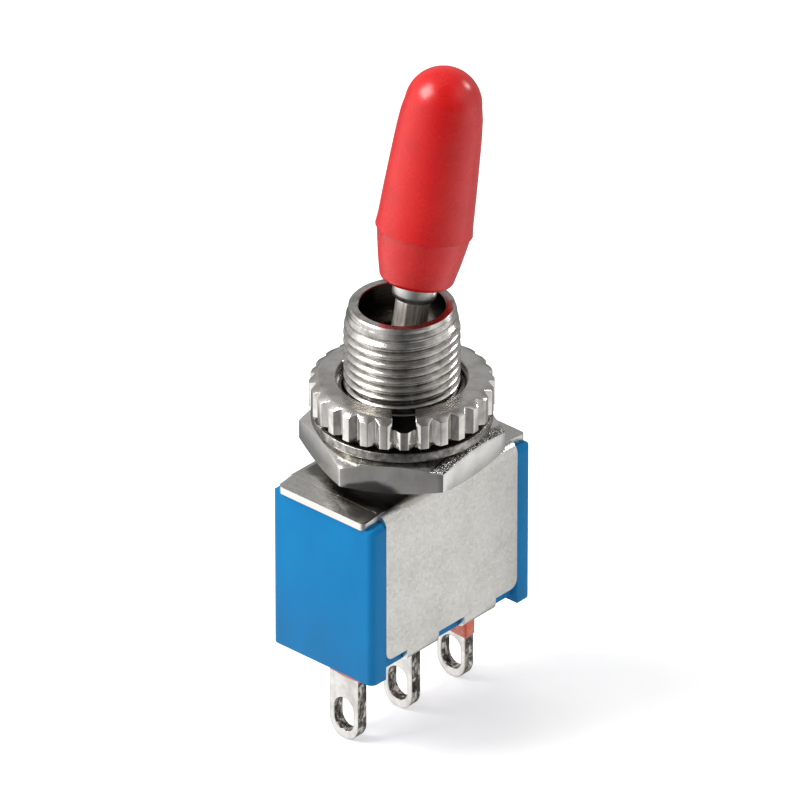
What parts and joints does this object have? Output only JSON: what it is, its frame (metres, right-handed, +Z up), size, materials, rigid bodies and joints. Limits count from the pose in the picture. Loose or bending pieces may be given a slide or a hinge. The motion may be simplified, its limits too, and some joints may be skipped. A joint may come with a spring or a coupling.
{
  "type": "panel toggle switch",
  "caption": "Miniature panel toggle switch: capped lever on a threaded bushing with nut, lock washer and ring nut, folded steel frame, blue case and solder lugs",
  "frame": {"origin": "On the axis of the bushing, at the lever's pivot, which lies just inside the free stretch of the thread, above the ring nut.", "axes": "+Z runs up the bushing, towards the lever's tip. +X runs along the row of solder lugs and along the lever's throw. +Y runs across the case, along the pivot pin. At rest the lever leans towards +X."},
  "size_m": [0.0124, 0.0096, 0.0364],
  "materials": {
    "red_pvc": "semi-gloss",
    "nickel_plated_brass": "nickel plate, turned",
    "nickel_plated_steel": "nickel plate, stamped",
    "bare_steel": "bright drawn",
    "tinned_steel": "tin plate, satin",
    "blue_resin": "moulded, satin",
    "pale_plastic": "moulded, satin",
    "tinned_brass": "tin plate, dull",
    "contact_silver": "silver, satin",
    "red_resin": "poured, glossy"
  },
  "bodies": {
    "housing": {"bushing": "nickel_plated_brass", "frame": "tinned_steel", "case": "blue_resin", "hex_nut": "nickel_plated_brass", "terminal_front": "tinned_brass", "terminal_common": "tinned_brass", "terminal_rear": "tinned_brass", "fixed_contact_front": "contact_silver", "fixed_contact_rear": "contact_silver", "terminal_seal_front": "red_resin", "terminal_seal_common": "red_resin", "terminal_seal_rear": "red_resin"},
    "lever": {"toggle_lever": "nickel_plated_brass", "lever_cap": "red_pvc", "pivot_pin": "bare_steel", "plunger_spring": "bare_steel"},
    "plunger_slider": {"plunger": "pale_plastic"},
    "rocker": {"contact_rocker": "tinned_brass", "moving_contact_front": "contact_silver", "moving_contact_rear": "contact_silver"},
    "washer": {"lock_washer": "nickel_plated_steel"},
    "nut": {"ring_nut": "nickel_plated_brass"}
  },
  "joints": [
    {"name": "lever_throw", "type": "hinge", "parent": "housing", "child": "lever", "pos_m": [0, 0, 0], "axis": [0, 1, 0], "range_deg": [-24.6, 0]},
    {"name": "plunger_slide", "type": "slide", "parent": "lever", "child": "plunger_slider", "axis": [0.213, 0, 0.977], "range_m": [0, 0.00045], "stiffness_N_per_m": 200, "springref_m": -0.001, "deforming": ["plunger_spring"]},
    {"name": "rocker_tip", "type": "hinge", "parent": "housing", "child": "rocker", "pos_m": [0, 0, -0.00921], "axis": [0, 1, 0], "range_deg": [0, 18]},
    {"name": "washer_slide", "type": "slide", "parent": "housing", "child": "washer", "axis": [0, 0, 1], "range_m": [0, 0.004]},
    {"name": "ring_nut_turn", "type": "hinge", "parent": "washer", "child": "nut", "pos_m": [0, 0, 0], "axis": [0, 0, 1], "range_deg": [0, 2880]}
  ],
  "couplings": [
    {"joint": "rocker_tip", "follows": "lever_throw", "ratio": -0.7317},
    {"joint": "ring_nut_turn", "follows": "washer_slide", "rad_per_m": 12566}
  ]
}
